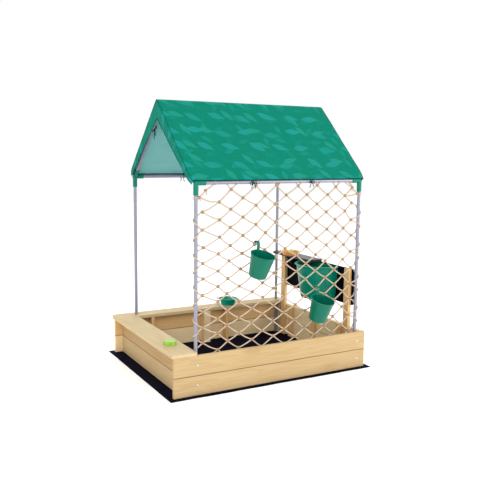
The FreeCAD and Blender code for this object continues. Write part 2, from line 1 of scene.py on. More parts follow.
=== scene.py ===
"""Looks of the wooden sandbox with its cloth roof, rope net, buckets and play panel.  Metres."""
import bpy
import json
import math
import random
from mathutils import Matrix, Vector, noise


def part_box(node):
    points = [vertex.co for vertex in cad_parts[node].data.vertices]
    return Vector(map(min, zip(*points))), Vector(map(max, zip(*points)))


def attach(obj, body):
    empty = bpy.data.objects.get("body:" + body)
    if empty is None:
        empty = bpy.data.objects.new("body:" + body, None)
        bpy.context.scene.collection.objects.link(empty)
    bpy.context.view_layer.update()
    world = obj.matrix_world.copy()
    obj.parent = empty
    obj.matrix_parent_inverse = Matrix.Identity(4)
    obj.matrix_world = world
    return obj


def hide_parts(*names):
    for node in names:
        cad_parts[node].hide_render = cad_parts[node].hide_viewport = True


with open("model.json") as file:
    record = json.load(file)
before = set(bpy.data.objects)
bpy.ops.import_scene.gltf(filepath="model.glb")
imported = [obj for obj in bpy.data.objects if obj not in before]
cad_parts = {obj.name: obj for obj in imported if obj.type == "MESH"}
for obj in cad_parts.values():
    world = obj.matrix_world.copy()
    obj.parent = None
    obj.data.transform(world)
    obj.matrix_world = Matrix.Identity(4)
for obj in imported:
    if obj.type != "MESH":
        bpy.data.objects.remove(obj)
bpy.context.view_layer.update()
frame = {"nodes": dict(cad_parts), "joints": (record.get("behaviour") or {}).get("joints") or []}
ROOT = "sandbox"

# ---------------------------------------------------------------- places taken from the frame
X, Y, Z = Vector((1, 0, 0)), Vector((0, 1, 0)), Vector((0, 0, 1))
JOINTS = {j["name"]: j for j in frame["joints"]}


def centre(node):
    low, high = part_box(node)
    return (Vector(low) + Vector(high)) / 2


def side(node, axis, top):
    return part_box(node)[1 if top else 0][axis]


TUBE_R = (side("ridge_tube", 2, True) - side("ridge_tube", 2, False)) / 2
POLE_X = {"left": centre("pole_front_left").x, "right": centre("pole_front_right").x}
POLE_Y = centre("pole_back_left").y
EAVE_Z = centre("eave_tube_front").z
RIDGE_Z = centre("ridge_tube").z
SLOPE = math.atan2(RIDGE_Z - EAVE_Z, POLE_Y)
WALL_TOP = side("wall_front_upper", 2, True)
ROOF_LOW, ROOF_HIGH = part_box("roof_cover")
NET_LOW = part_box("net")[0]
KNOT_LEFT = Vector(JOINTS["bucket_left_swing"]["pos_m"])
KNOT_RIGHT = Vector(JOINTS["bucket_right_swing"]["pos_m"])
KNOT_STEPS = 6
MESH_X = (KNOT_RIGHT.x - KNOT_LEFT.x) / KNOT_STEPS
MESH_Z = (KNOT_LEFT.z - KNOT_RIGHT.z) / KNOT_STEPS
RUN = math.hypot(POLE_Y, RIDGE_Z - EAVE_Z)     # ridge to eave along a rafter
HALF_CUT = RUN + 0.012                         # ridge to hem in the flat roof cloth
HEM = 0.011


# ---------------------------------------------------------------- material helpers
class Tree:
    """A Principled material and short ways to add nodes to it."""

    def __init__(self, name, **sockets):
        self.mat = bpy.data.materials.new(name)
        self.mat.use_nodes = True
        self.nodes = self.mat.node_tree.nodes
        self.links = self.mat.node_tree.links
        self.bsdf = self.nodes["Principled BSDF"]
        for key, value in sockets.items():
            self.give(self.bsdf.inputs[key.replace("_", " ")], value)

    def give(self, socket, value):
        if isinstance(value, bpy.types.NodeSocket):
            self.links.new(value, socket)
        elif isinstance(value, (tuple, list)) and len(value) == 3 and socket.type == "RGBA":
            socket.default_value = (*value, 1)
        else:
            socket.default_value = value

    def add(self, kind, inputs=None, **props):
        node = self.nodes.new("ShaderNode" + kind)
        for key, value in props.items():
            setattr(node, key, value)
        for key, value in (inputs or {}).items():
            self.give(node.inputs[key], value)
        return node

    def math(self, operation, a, b=0.0, c=0.0):
        node = self.add("Math", {0: a, 1: b, 2: c}, operation=operation)
        return node.outputs[0]

    def times(self, a, b):
        return self.math("MULTIPLY", a, b)

    def mix(self, factor, a, b):
        """Blend of two colours; a Mix node has its colours at inputs 6 and 7 and output 2."""
        return self.add("Mix", {0: factor, 6: a, 7: b}, data_type="RGBA").outputs[2]

    def ramp(self, factor, *stops):
        node = self.add("ValToRGB", {0: factor})
        band = node.color_ramp
        while len(band.elements) < len(stops):
            band.elements.new(0.5)
        for element, (place, colour) in zip(band.elements, stops):
            element.position = place
            shade = colour if isinstance(colour, tuple) else (colour,) * 3
            element.color = (*shade, 1)
        return node.outputs[0]

    def place(self):
        """Object coordinates, so that a pattern has its real size on every piece."""
        return self.add("TexCoord").outputs["Object"]

    def stretch(self, spot, scale):
        return self.add("Mapping", {"Vector": spot, "Scale": scale}).outputs[0]

    def parts(self, vector):
        return self.add("SeparateXYZ", {0: vector}).outputs

    def noise(self, vector, scale, detail=3.0, rough=0.5, distortion=0.0):
        return self.add("TexNoise", {"Vector": vector, "Scale": scale, "Detail": detail,
                                     "Roughness": rough, "Distortion": distortion}).outputs["Fac"]

    def bump(self, height, strength, distance=0.001):
        node = self.add("Bump", {"Height": height, "Strength": strength, "Distance": distance})
        self.links.new(node.outputs[0], self.bsdf.inputs["Normal"])

    def colour(self, value):
        self.give(self.bsdf.inputs["Base Color"], value)

    def rough(self, value):
        self.give(self.bsdf.inputs["Roughness"], value)


# ---------------------------------------------------------------- wood, plastic, metal and black parts
PALE = ((0.65, 0.505, 0.285), (0.57, 0.41, 0.21), (0.44, 0.285, 0.125))
# The next two palettes are brighter than the outside planks and go on the pieces inside the box:
# painted light that lifts the shade inside it.
PINE_PAINTED_LIGHT = ((0.92, 0.71, 0.43), (0.84, 0.61, 0.34), (0.66, 0.43, 0.20))
PINE_WARM_PAINTED_LIGHT = ((0.80, 0.52, 0.24), (0.70, 0.42, 0.17), (0.52, 0.29, 0.10))
STRAW = ((0.545, 0.39, 0.20), (0.48, 0.32, 0.142), (0.36, 0.21, 0.078))
AMBER = ((0.51, 0.335, 0.155), (0.43, 0.255, 0.10), (0.31, 0.165, 0.055))
KNOT_BROWN = (0.24, 0.125, 0.05)
SEAM_BROWN = (0.17, 0.09, 0.035)
KNOT_RARITY = 0.82
SEED_STEPS = (1.37, 0.71, 2.13)
PLANK_SEAM = side("wall_front_lower", 2, True)


def wood(name, axis, palette, seed):
    """Planed pine: long grain along one axis, growth bands, fine fibres and scattered knots."""
    t = Tree(name, Specular_IOR_Level=0.25)
    along = "xyz".index(axis)
    light, mid, dark = palette
    moved = t.add("Mapping", {"Vector": t.place(), "Location": [seed * step for step in SEED_STEPS]})

    def grain(scale, length):
        spread = [scale, scale, scale]
        spread[along] = length
        return t.stretch(moved.outputs[0], spread)

    knots = t.add("TexVoronoi", {"Vector": grain(15.0, 4.6), "Scale": 1.0, "Randomness": 1.0})
    pick = t.add("SeparateColor", {0: knots.outputs["Color"]}).outputs[0]
    chance = t.math("GREATER_THAN", pick, KNOT_RARITY)
    core = t.times(chance, t.ramp(knots.outputs["Distance"], (0.03, 1.0), (0.11, 0.0)))
    halo = t.times(chance, t.ramp(knots.outputs["Distance"], (0.06, 1.0), (0.42, 0.0)))
    bands = t.noise(grain(9.0, 0.55), 3.1, 2.0, 0.4, 0.5)
    rings = t.math("SINE", t.math("ADD", t.times(bands, 42.0), t.times(halo, 6.4)))
    ring_shade = t.ramp(rings, (0.0, 0.0), (1.0, 1.0))
    fibres = t.noise(grain(260.0, 6.0), 1.0, 3.0, 0.6)
    blotch = t.noise(grain(5.0, 1.6), 1.0, 3.0, 0.55)
    shade = t.mix(t.times(ring_shade, 0.5), light, mid)
    shade = t.mix(t.times(t.ramp(blotch, (0.38, 0.0), (0.68, 1.0)), 0.45), shade, mid)
    shade = t.mix(t.times(t.ramp(fibres, (0.45, 0.0), (0.8, 1.0)), 0.35), shade, dark)
    shade = t.mix(t.times(halo, 0.5), shade, dark)
    shade = t.mix(t.times(core, 0.8), shade, KNOT_BROWN)
    if name.startswith("pine_wall"):
        away = t.math("ABSOLUTE", t.math("SUBTRACT", t.parts(t.place())[2], PLANK_SEAM))
        crack = t.ramp(t.times(away, 250.0), (0.2, 1.0), (0.9, 0.0))
        shade = t.mix(t.times(crack, 0.75), shade, SEAM_BROWN)
    t.colour(shade)
    t.rough(t.ramp(fibres, (0.2, 0.55), (0.8, 0.7)))
    relief = t.math("ADD", t.times(fibres, 0.6), t.times(ring_shade, 0.25))
    t.bump(relief, 0.35, 0.0006)
    return t.mat


def plastic(name, colour, rough, gloss=0.22):
    """Glossy moulded plastic: faint flow marks, fine texture and small scuffs."""
    t = Tree(name, Specular_IOR_Level=gloss)
    spot = t.place()
    flow = t.noise(spot, 22.0, 2.0, 0.5, 0.6)
    grit = t.noise(spot, 900.0, 2.0)
    scuff = t.noise(t.stretch(spot, (60, 60, 9)), 4.0, 4.0, 0.7)
    scuff = t.ramp(scuff, (0.62, 0.0), (0.78, 1.0))
    darker = tuple(c * 0.86 for c in colour)
    paler = tuple(min(1.0, c * 1.15 + 0.015) for c in colour)
    t.colour(t.mix(t.times(scuff, 0.25), t.mix(flow, darker, colour), paler))
    t.rough(t.math("ADD", t.times(scuff, 0.18), t.math("MULTIPLY_ADD", flow, 0.08, rough)))
    t.bump(t.math("ADD", t.times(grit, 0.25), flow), 0.12, 0.0006)
    return t.mat


def coated_steel():
    """Grey powder-coated tube: orange-peel texture and a few rub marks."""
    t = Tree("coated_steel", Metallic=0.35, Specular_IOR_Level=0.5)
    spot = t.place()
    peel = t.noise(spot, 420.0, 2.0)
    marks = t.noise(t.stretch(spot, (90, 90, 6)), 3.0, 5.0, 0.7)
    marks = t.ramp(marks, (0.6, 0.0), (0.74, 1.0))
    t.colour(t.mix(t.times(marks, 0.5), (0.29, 0.29, 0.36), (0.44, 0.44, 0.50)))
    t.rough(t.math("MULTIPLY_ADD", marks, 0.15, 0.3))
    t.bump(peel, 0.1, 0.0003)
    return t.mat


def zinc():
    """Zinc-plated fasteners: brushed swirl and dull patches."""
    t = Tree("zinc_plated", Metallic=1.0)
    spot = t.place()
    patch = t.noise(spot, 160.0, 3.0)
    brush = t.noise(t.stretch(spot, (900, 900, 120)), 1.0, 2.0)
    t.colour(t.mix(patch, (0.52, 0.51, 0.48), (0.74, 0.73, 0.70)))
    t.rough(t.math("MULTIPLY_ADD", patch, 0.2, 0.26))
    t.bump(brush, 0.15, 0.0002)
    return t.mat


def black_board():
    """Matt board with a trace of wiped chalk."""
    t = Tree("board_black", Specular_IOR_Level=0.02)
    spot = t.place()
    cloud = t.noise(spot, 7.0, 4.0, 0.6, 0.8)
    grit = t.noise(spot, 700.0, 2.0)
    t.colour(t.mix(t.times(t.ramp(cloud, (0.5, 0.0), (0.85, 1.0)), 0.35),
                   (0.002, 0.003, 0.006), (0.010, 0.011, 0.015)))
    t.rough(t.math("MULTIPLY_ADD", cloud, 0.2, 0.5))
    t.bump(grit, 0.2, 0.0003)
    return t.mat


def black_shelf():
    """Satin black laminate with faint wiping streaks."""
    t = Tree("shelf_black", Specular_IOR_Level=0.22)
    spot = t.place()
    streak = t.noise(t.stretch(spot, (30, 4, 30)), 3.0, 4.0)
    t.colour(t.mix(streak, (0.010, 0.010, 0.012), (0.028, 0.028, 0.032)))
    t.rough(t.math("MULTIPLY_ADD", streak, 0.2, 0.22))
    t.bump(t.noise(spot, 500.0, 2.0), 0.1, 0.0003)
    return t.mat


def woven(t, spot, fineness):
    """Height of a plain weave: crossing sine waves along the first two axes."""
    part = t.parts(spot)
    warp = t.math("SINE", t.times(part[0], fineness))
    weft = t.math("SINE", t.times(part[1], fineness))
    return t.times(warp, weft)


def membrane():
    """Black woven ground cloth: flat tapes crossing, with a little dust."""
    t = Tree("membrane", Specular_IOR_Level=0.02)
    spot = t.place()
    weave = woven(t, spot, 1400.0)
    dust = t.noise(spot, 9.0, 4.0, 0.6)
    t.colour(t.mix(t.times(t.ramp(dust, (0.5, 0.0), (0.85, 1.0)), 0.5),
                   (0.0028, 0.0034, 0.0125), (0.007, 0.008, 0.022)))
    t.rough(t.math("MULTIPLY_ADD", dust, 0.2, 0.55))
    t.bump(weave, 0.3, 0.0004)
    return t.mat


def rope_mat(name, pale, dark, twist=900.0):
    """Rope or cord: fine fibres over slow changes of shade."""
    t = Tree(name, Specular_IOR_Level=0.08)
    spot = t.place()
    fibres = t.noise(spot, twist, 3.0, 0.6)
    blotch = t.noise(spot, 30.0, 2.0)
    t.colour(t.mix(t.ramp(fibres, (0.35, 0.0), (0.7, 1.0)), dark, t.mix(blotch, pale, dark)))
    t.rough(0.85)
    t.bump(fibres, 0.5, 0.0006)
    return t.mat


# ---------------------------------------------------------------- roof cloth with its leaf print
CELL_TALL = 0.78               # height of a leaf's cell over its width
SCATTER = 0.3                  # how far a leaf may leave its cell's centre
LEAF_LEAN = 0.45               # the leaves' mean angle in radians
LEAF_POINT = 1.4
LEAF_SKEW = 0.15
NOTCHES = 38.0
NOTCH_DEPTH = 0.045
RIB_WIDTH = 0.075
VEIN_COUNT = 30.0
VEIN_SLANT = 0.6
VEIN_EDGE = 0.8
STALKS = {"cell": 0.150, "length": 0.120, "width": 0.0070, "turn": 3.6, "offset": 8.13}
FRONDS = {"cell": 0.105, "length": 0.075, "width": 0.0055, "turn": 5.6, "offset": 5.41}
SMALL_LEAVES = {"cell": 0.118, "length": 0.078, "width": 0.031, "turn": 2.6, "offset": 3.77}
MIDDLE_LEAVES = {"cell": 0.148, "length": 0.098, "width": 0.038, "turn": 1.5, "offset": 6.02}
BIG_LEAVES = {"cell": 0.156, "length": 0.108, "width": 0.046, "turn": 1.3, "offset": 0.31}


def leaf_layer(t, spot, cell, length, width, turn, offset):
    """Scattered leaves, one in each cell: returns the blade's mask, its veins and a random shade."""
    moved = t.add("Mapping", {"Vector": spot, "Location": (offset, offset * 0.7, 0),
                              "Scale": (1 / cell, 1 / (cell * CELL_TALL), 1)}).outputs[0]
    cells = t.add("TexVoronoi", {"Vector": moved, "Scale": 1.0, "Randomness": SCATTER},
                  voronoi_dimensions="2D")
    away = t.add("VectorMath", {0: moved, 1: cells.outputs["Position"]}, operation="SUBTRACT")
    away = t.add("VectorMath", {0: away.outputs[0], 1: (cell, cell * CELL_TALL, 0)},
                 operation="MULTIPLY")
    hue = t.add("SeparateColor", {0: cells.outputs["Color"]}).outputs
    angle = t.math("MULTIPLY_ADD", t.math("SUBTRACT", hue[0], 0.5), turn, LEAF_LEAN)
    local = t.add("VectorRotate", {"Vector": away.outputs[0], "Angle": angle}, rotation_type="Z_AXIS")
    part = t.parts(local.outputs[0])
    along = t.math("DIVIDE", part[0], length / 2)
    across = t.math("ABSOLUTE", t.math("DIVIDE", part[1], width / 2))
    skewed = t.math("ABSOLUTE", t.math("ADD", along, t.times(across, LEAF_SKEW)))
    outline = t.math("SUBTRACT", 1.0, t.math("POWER", skewed, LEAF_POINT))
    notch = t.times(t.math("SINE", t.times(along, NOTCHES)), NOTCH_DEPTH)
    blade = t.math("GREATER_THAN", t.math("ADD", outline, notch), across)
    blade = t.times(blade, t.math("LESS_THAN", t.math("ABSOLUTE", along), 1.0))
    rib = t.math("LESS_THAN", across, RIB_WIDTH)
    slant = t.math("SUBTRACT", along, t.times(across, VEIN_SLANT))
    fan = t.math("SINE", t.times(slant, VEIN_COUNT))
    veins = t.math("MAXIMUM", rib, t.math("GREATER_THAN", fan, VEIN_EDGE))
    return blade, t.times(blade, veins), hue[1]


def crease_bump(t, spot):
    """Height of soft creases, longer along the ridge than down the slope."""
    return t.noise(t.stretch(spot, (5, 11, 5)), 1.6, 5.0, 0.55, 1.2)


def roof_cloth():
    """Coated polyester: green with a tone-on-tone leaf print, fine weave and soft creases."""
    t = Tree("roof_print", Specular_IOR_Level=0.05)
    spot = t.add("UVMap", uv_map="cloth").outputs[0]
    wobble = t.noise(spot, 9.0, 2.0)
    shade = t.mix(wobble, (0.0, 0.172, 0.112), (0.0, 0.200, 0.134))
    stalk, _, _ = leaf_layer(t, spot, **STALKS)
    frond, _, _ = leaf_layer(t, spot, **FRONDS)
    small, small_veins, small_tone = leaf_layer(t, spot, **SMALL_LEAVES)
    middle, middle_veins, middle_tone = leaf_layer(t, spot, **MIDDLE_LEAVES)
    big, big_veins, big_tone = leaf_layer(t, spot, **BIG_LEAVES)
    shade = t.mix(t.times(t.math("MAXIMUM", stalk, frond), 0.4), shade, (0.006, 0.225, 0.150))
    strength = t.math("MULTIPLY_ADD", small_tone, 0.4, 0.15)
    shade = t.mix(t.times(small, strength), shade, (0.008, 0.258, 0.200))
    present = t.math("GREATER_THAN", middle_tone, 0.4)
    shade = t.mix(t.times(t.times(middle, present), 0.7), shade, (0.014, 0.262, 0.196))
    strength = t.math("MULTIPLY_ADD", big_tone, 0.35, 0.6)
    shade = t.mix(t.times(big, strength), shade, (0.010, 0.262, 0.228))
    faint_veins = t.times(t.math("MAXIMUM", middle_veins, small_veins), 0.5)
    veins = t.math("MAXIMUM", faint_veins, big_veins)
    shade = t.mix(t.times(veins, 0.35), shade, (0.0, 0.210, 0.148))
    t.colour(shade)
    t.rough(t.math("MULTIPLY_ADD", wobble, 0.15, 0.55))
    weave = t.times(woven(t, spot, 5200.0), 0.04)
    t.bump(t.math("ADD", weave, t.times(crease_bump(t, spot), 2.4)), 0.5, 0.0026)
    return t.mat


def roof_lining():
    """Pale grey-teal reverse of the cloth, with the print faintly through and a dark bound hem."""
    t = Tree("roof_reverse", Specular_IOR_Level=0.2)
    spot = t.add("UVMap", uv_map="cloth").outputs[0]
    big, _, _ = leaf_layer(t, spot, **BIG_LEAVES)
    cloud = t.noise(spot, 6.0, 3.0)
    shade = t.mix(cloud, (0.155, 0.42, 0.41), (0.21, 0.50, 0.50))
    shade = t.mix(t.times(big, 0.14), shade, (0.115, 0.37, 0.355))
    down = t.math("ABSOLUTE", t.parts(spot)[1])
    shade = t.mix(t.math("GREATER_THAN", down, HALF_CUT - HEM), shade, (0.004, 0.055, 0.065))
    t.colour(shade)
    t.rough(0.6)
    t.bump(crease_bump(t, spot), 0.5, 0.004)
    return t.mat


# ---------------------------------------------------------------- finishes on the CAD nodes
# The pieces inside the box take the two brighter palettes: painted light against the shade inside the
# box.
PINE = {
    "wall_front_lower": ("x", STRAW, 1), "wall_front_upper": ("x", STRAW, 2),
    "wall_back_lower": ("x", PINE_PAINTED_LIGHT, 3), "wall_back_upper": ("x", PINE_WARM_PAINTED_LIGHT, 4),
    "wall_left_lower": ("y", STRAW, 5), "wall_left_upper": ("y", AMBER, 6),
    "wall_right_lower": ("y", PINE_PAINTED_LIGHT, 7), "wall_right_upper": ("y", PINE_PAINTED_LIGHT, 8),
    "seat_left": ("y", PALE, 9), "seat_back": ("x", PALE, 10), "seat_post": ("z", PINE_PAINTED_LIGHT, 11),
    "seat_brackets_back": ("z", PINE_WARM_PAINTED_LIGHT, 12), "seat_brackets_left": ("z", AMBER, 13),
    "corner_blocks": ("z", PALE, 14), "right_wall_cleats": ("z", PINE_WARM_PAINTED_LIGHT, 15),
    "panel_post_front": ("z", PINE_WARM_PAINTED_LIGHT, 16), "panel_post_back": ("z", PINE_WARM_PAINTED_LIGHT, 17),
}
WOOD = {node: wood("pine_" + node, *kind) for node, kind in PINE.items()}
GREEN = plastic("green_plastic", (0.0, 0.162, 0.098), 0.18, gloss=0.27)
# The tub and the pot are the buckets' green plastic made paler: painted light that lifts the shade
# they sit in.
TUB_GREEN_PAINTED_LIGHT = plastic("tub_green_painted_light", (0.0, 0.262, 0.170), 0.24)
POT_GREEN_PAINTED_LIGHT = plastic("pot_green_painted_light", (0.0, 0.345, 0.235), 0.24)
SOCKET_GREEN = plastic("socket_green", (0.0, 0.195, 0.125), 0.4)
ORANGE = plastic("orange_plastic", (1.0, 0.42, 0.085), 0.3)
LIME = plastic("lime_plastic", (0.36, 0.62, 0.09), 0.32)
STEEL = coated_steel()
ZINC = zinc()
BOARD = black_board()
SHELF = black_shelf()
MEMBRANE = membrane()
ROPE = rope_mat("net_rope", (0.72, 0.59, 0.47), (0.50, 0.385, 0.285))
KNOT_ROPE = rope_mat("knot_rope", (0.52, 0.36, 0.215), (0.34, 0.21, 0.11))
TIE_CORD = rope_mat("tie_cord", (0.012, 0.10, 0.085), (0.002, 0.035, 0.03), 1400.0)
PIPING = rope_mat("piping", (0.0, 0.150, 0.095), (0.0, 0.110, 0.070), 1400.0)
BINDING = rope_mat("binding", (0.0, 0.060, 0.055), (0.0, 0.030, 0.030), 1400.0)
ROOF_OUT = roof_cloth()
ROOF_IN = roof_lining()


def node_material(name):
    if name in WOOD:
        return WOOD[name]
    if name.startswith(("pole_front", "pole_back", "rafter", "eave_tube", "ridge_tube")):
        return STEEL
    if name.startswith("connector"):
        return SOCKET_GREEN
    if name.startswith("bucket"):
        return GREEN
    if name == "tub":
        return TUB_GREEN_PAINTED_LIGHT
    if name == "pot":
        return POT_GREEN_PAINTED_LIGHT
    if name == "pan":
        return ORANGE
    if name.endswith("mould"):
        return LIME
    return {"chalkboard": BOARD, "shelf": SHELF, "shelf_gussets": SHELF}.get(name, ZINC)


SOFT_NODES = ("roof_cover", "roof_ties", "net", "net_lashing", "ground_sheet")
for node_name, node_object in frame["nodes"].items():
    if node_name not in SOFT_NODES:
        for index in range(len(node_object.material_slots)):
            node_object.material_slots[index].link = "OBJECT"
            node_object.material_slots[index].material = node_material(node_name)


# ---------------------------------------------------------------- mesh helpers
def mesh_object(name, verts, faces, materials, smooth=True):
    mesh = bpy.data.meshes.new(name)
    mesh.from_pydata([tuple(v) for v in verts], [], faces)
    mesh.update()
    for material in materials:
        mesh.materials.append(material)
    if smooth:
        mesh.polygons.foreach_set("use_smooth", [True] * len(mesh.polygons))
    thing = bpy.data.objects.new(name, mesh)
    bpy.context.scene.collection.objects.link(thing)
    return thing


NEARLY_UPRIGHT = 0.05


class Tubes:
    """Collects swept tubes in one mesh; lobes above 0 gives them a twisted three-strand surface."""

    def __init__(self):
        self.verts = []
        self.faces = []

    def sweep(self, points, radius, sides=10, lobes=0.0, pitch=0.014, closed=False):
        count = len(points)
        start = len(self.verts)
        travelled = 0.0
        up = Z
        for n, point in enumerate(points):
            ahead = points[(n + 1) % count] if closed or n + 1 < count else point
            behind = points[n - 1] if closed or n > 0 else point
            line = (ahead - behind).normalized()
            across = line.cross(up)
            if across.length < NEARLY_UPRIGHT:
                across = line.cross(Y)
            across.normalize()
            up = across.cross(line).normalized()
            if n:
                travelled += (point - points[n - 1]).length
            for k in range(sides):
                angle = 2 * math.pi * k / sides
                swell = 1 + lobes * math.cos(3 * angle - 2 * math.pi * travelled / pitch)
                offset = across * math.cos(angle) + up * math.sin(angle)
                self.verts.append(point + offset * radius * swell)
        rings = count if closed else count - 1
        for n in range(rings):
            a = start + n * sides
            b = start + ((n + 1) % count) * sides
            for k in range(sides):
                m = (k + 1) % sides
                self.faces.append((a + k, a + m, b + m, b + k))
        if not closed:
            self.faces.append(tuple(start + k for k in reversed(range(sides))))
            self.faces.append(tuple(start + rings * sides + k for k in range(sides)))

    def make(self, name, material):
        return mesh_object(name, self.verts, self.faces, [material])


def curve_points(knots, steps):
    """Smooth points through a short list of control points (Catmull-Rom)."""
    points = []
    padded = [knots[0] * 2 - knots[1], *knots, knots[-1] * 2 - knots[-2]]
    for a, b, c, d in zip(padded, padded[1:], padded[2:], padded[3:]):
        for n in range(steps):
            s = n / steps
            points.append(0.5 * (2 * b + (c - a) * s + (2 * a - 5 * b + 4 * c - d) * s * s
                                 + (3 * b - a - 3 * c + d) * s ** 3))
    points.append(knots[-1])
    return points


# ---------------------------------------------------------------- roof cover
ROOF_INSET = 0.001             # keeps the cloth inside the CAD cover
CLOTH_HALF = 0.0006
OUTER = (ROOF_HIGH[2] - RIDGE_Z) * math.cos(SLOPE) - ROOF_INSET
FLAP_TOP = 0.078               # width of the gable flap under the ridge
FLAP_LOW = 0.026               # and at the eave
RIDGE_ROUND = 0.005
SAG = 0.007
RIPPLE = 0.0022
SMALL_RIPPLE = 0.0013
TIE_PULL = 0.0012
TIE_PULL_REACH = 0.03
HEM_FROM = 0.93                # share of the slope where the ties start to pull
ROOF_ROWS = 120
ROOF_COLUMNS = 110
FLAP_COLUMNS = 8
TUCK = 0.011                   # how far the lower corners are drawn in
TUCK_FROM = 0.88
SEAM_DROP = 0.0016
SEAM_ROUND = 0.004
PUCKER = 0.0045
PUCKER_REACH = 0.016
FLUTTER = 0.004
FLAP_CURL = 0.0008
PIPING_R = 0.0014
FLAP_HEM_R = 0.0012
EAVE_HEM_R = 0.0019
TRIM_LAY = 0.006
TIE_XS = (-0.147, 0.215)       # the ties on the eave tubes


def slope_point(share, offset):
    """Point across the roof: share -1 is the front eave, 0 the ridge, 1 the back eave."""
    y = share * (POLE_Y + OUTER * math.sin(SLOPE))
    rise = RIDGE_Z + offset / math.cos(SLOPE)
    soft = math.sqrt(y * y + RIDGE_ROUND ** 2)
    return Vector((0, y, rise - math.tan(SLOPE) * soft))


def roof_sag(x, share):
    """How far the cloth hangs inside its flat slope, with slack, pulls and small ripples."""
    span = (x - POLE_X["left"]) / (POLE_X["right"] - POLE_X["left"])
    inside = max(0.0, math.sin(math.pi * min(max(span, 0.0), 1.0)))
    down = math.sin(math.pi * min(1.0, abs(share)))
    slack = SAG * inside ** 0.7 * down
    ripple = noise.noise(Vector((x * 7, share * 3.2, 1.7))) * RIPPLE
    ripple += noise.noise(Vector((x * 3 + share * 5, share * 9, 4.1))) * SMALL_RIPPLE
    fade = min(1.0, (1 - abs(share)) * 6) * min(1.0, abs(share) * 8)
    hem = 0.0
    if abs(share) > HEM_FROM:
        near = min(abs(x - tie) for tie in TIE_XS)
        low = (abs(share) - HEM_FROM) / (1 - HEM_FROM)
        hem = TIE_PULL * math.exp(-(near / TIE_PULL_REACH) ** 2) * low
    return slack + ripple * fade + hem


def build_roof():
    """The cover: one sheet over both slopes with a flap folded down in each gable, and its trims."""
    left, right = ROOF_LOW[0] + ROOF_INSET, ROOF_HIGH[0] - ROOF_INSET
    columns = [("left", 1 - n / FLAP_COLUMNS) for n in range(FLAP_COLUMNS)]
    columns += [("span", n / ROOF_COLUMNS) for n in range(ROOF_COLUMNS + 1)]
    columns += [("right", (n + 1) / FLAP_COLUMNS) for n in range(FLAP_COLUMNS)]
    verts, uvs = [], []
    for row in range(ROOF_ROWS + 1):
        share = -1 + 2 * row / ROOF_ROWS
        outer = slope_point(share, OUTER)
        flap = FLAP_TOP + (FLAP_LOW - FLAP_TOP) * abs(share)
        y_in = share * (POLE_Y + (OUTER - FLAP_LOW) * math.sin(SLOPE))
        z_in = RIDGE_Z + (OUTER - FLAP_TOP) / math.cos(SLOPE)
        z_low = EAVE_Z + (OUTER - FLAP_LOW) * math.cos(SLOPE)
        inner = Vector((0, y_in, z_in + (z_low - z_in) * abs(share)))
        tilt = math.copysign(math.sin(SLOPE), share) * min(1, abs(share) * 12)
        normal = Vector((0, tilt, math.cos(SLOPE)))
        tuck = TUCK * max(0.0, (abs(share) - TUCK_FROM) / (1 - TUCK_FROM)) ** 2
        for kind, q in columns:
            if kind == "span":
                x = left + tuck + (right - left - 2 * tuck) * q
                inset = min(q, 1 - q) * (right - left)
                drop = SEAM_DROP * math.exp(-inset / SEAM_ROUND)
                pull = noise.noise(Vector((share * 26 + inset * 12, x, 2.2)))
                fade = min(1.0, 2 * inset / PUCKER_REACH)
                drop += PUCKER * pull * math.exp(-inset / PUCKER_REACH) * fade
                point = outer - normal * (roof_sag(x, share) + drop)
                point.x = x
                u = x
            else:
                away = -1 if kind == "left" else 1
                x = (left if kind == "left" else right) - away * tuck
                flutter = noise.noise(Vector((share * 6, q * 2, 8.8 + away))) * FLUTTER * q
                point = outer.lerp(inner, q)
                point.x = x - away * abs(flutter) + away * FLAP_CURL * math.sin(math.pi * q)
                u = x + away * q * flap
            verts.append(point)
            uvs.append((u, share * HALF_CUT))
    wide = len(columns)
    faces = []
    for row in range(ROOF_ROWS):
        for column in range(wide - 1):
            a = row * wide + column
            faces.append((a, a + 1, a + wide + 1, a + wide))
    roof = mesh_object("roof_cloth", verts, faces, [ROOF_OUT, ROOF_IN])
    layer = roof.data.uv_layers.new(name="cloth")
    for loop in roof.data.loops:
        layer.data[loop.index].uv = uvs[loop.vertex_index]
    shell = roof.modifiers.new("thickness", "SOLIDIFY")
    shell.thickness = 2 * CLOTH_HALF
    shell.offset = -1
    shell.material_offset = 1
    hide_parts("roof_cover")
    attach(roof, ROOT)

    def line(column):
        return [verts[row * wide + column] for row in range(ROOF_ROWS + 1)]

    seams, hems = Tubes(), Tubes()
    for column, away in ((FLAP_COLUMNS, -1), (FLAP_COLUMNS + ROOF_COLUMNS, 1)):
        proud = Vector((away * 0.0005, 0, 0))
        seams.sweep([point + proud for point in line(column)], PIPING_R, 8, 0.12, TRIM_LAY)
    for column in (0, wide - 1):
        hems.sweep(line(column), FLAP_HEM_R, 8, 0.1, TRIM_LAY)
    for row in (0, ROOF_ROWS):
        first = row * wide + FLAP_COLUMNS
        hems.sweep(verts[first:first + ROOF_COLUMNS + 1], EAVE_HEM_R, 8, 0.1, TRIM_LAY)
    trims = [seams.make("roof_seam_piping", PIPING), hems.make("roof_hem_binding", BINDING)]
    for trim in trims:
        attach(trim, ROOT)


# ---------------------------------------------------------------- roof ties
TIE_R = 0.0019
WRAP_R = 0.0007
TIE_LOBES = 0.1
TIE_LAY = 0.006
TIE_TURNS = 3.0
WRAP_STEPS = 22                # points in one turn of a wound cord
WRAP_LAY = 0.012
EAVE_BOW = 1.15                # sizes of the bows
GABLE_BOW = 1.5
GABLE_TIE_AT = 0.66            # share of the rafter, from the eave


